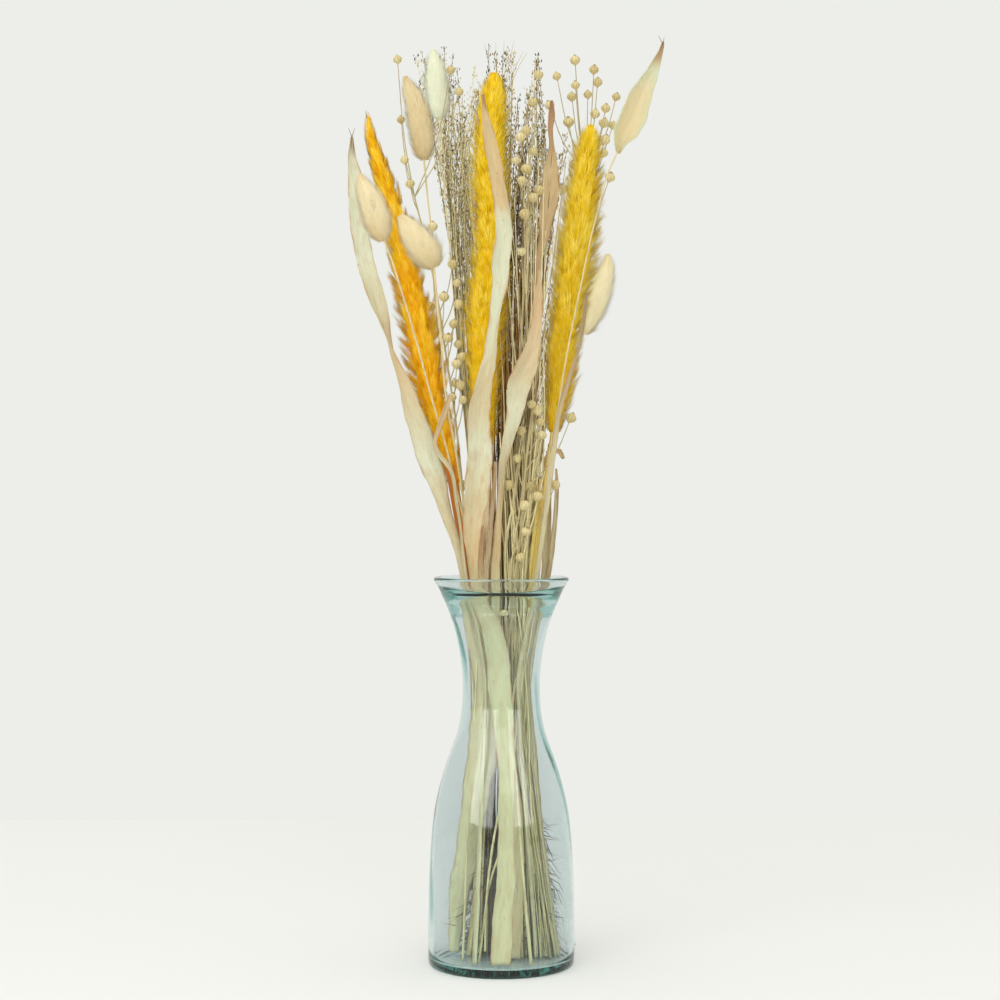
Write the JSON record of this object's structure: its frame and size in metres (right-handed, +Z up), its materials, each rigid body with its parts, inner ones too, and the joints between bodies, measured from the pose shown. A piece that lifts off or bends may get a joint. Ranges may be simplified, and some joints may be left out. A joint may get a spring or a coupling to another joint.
{
  "type": "dried flower bouquet in vase",
  "caption": "Dried bouquet of dyed furry plumes, bunny tail grasses, long leaves, seed-pod sprays and dark grass, standing in a waisted carafe-shaped glass vase.",
  "frame": {"origin": "centre of the vase's flat underside, on the surface that the vase stands on", "axes": "+Z up along the vase's axis, -Y towards the side that the flowers face, +X to the viewer's right"},
  "size_m": [0.2147, 0.1504, 0.6501],
  "materials": {
    "vase_glass": "clear pale blue-green glass, slightly rippled",
    "plume_amber": "dyed amber plant fur",
    "plume_lemon": "dyed lemon yellow plant fur",
    "plume_ochre": "dyed ochre yellow plant fur",
    "bunny_beige": "beige plant fur",
    "bunny_greenish": "greenish white plant fur",
    "bunny_cream": "cream plant fur",
    "leaf_pale": "dry matt pale green leaf",
    "leaf_peach": "dry matt peach leaf",
    "leaf_tan": "dry matt tan leaf",
    "leaf_brown": "dry matt brown blade",
    "straw": "dry straw",
    "seed_pod": "dry papery pod",
    "grass_olive": "fine dark dry grass"
  },
  "bodies": {
    "root": {"vase": "vase_glass", "plume_left": "plume_amber", "plume_centre": "plume_lemon", "plume_right": "plume_ochre", "bunny_upper_left": "bunny_beige", "bunny_top": "bunny_greenish", "bunny_left": "bunny_cream", "bunny_mid_left": "bunny_cream", "bunny_right": "bunny_beige", "leaf_left": "leaf_pale", "leaf_centre": "leaf_pale", "leaf_right": "leaf_peach", "leaf_brown": "leaf_tan", "leaf_top_right": "leaf_pale", "leaf_slim_right": "leaf_pale", "blade_brown": "leaf_brown", "blade_pink": "leaf_peach", "blade_straw": "straw", "strip_bent": "leaf_pale", "strip_curled": "leaf_peach", "flax_left": "seed_pod", "flax_centre": "seed_pod", "flax_right": "seed_pod", "flax_low": "seed_pod", "grass_left": "grass_olive", "grass_back": "grass_olive", "grass_right": "grass_olive", "straws": "straw"}
  },
  "joints": []
}
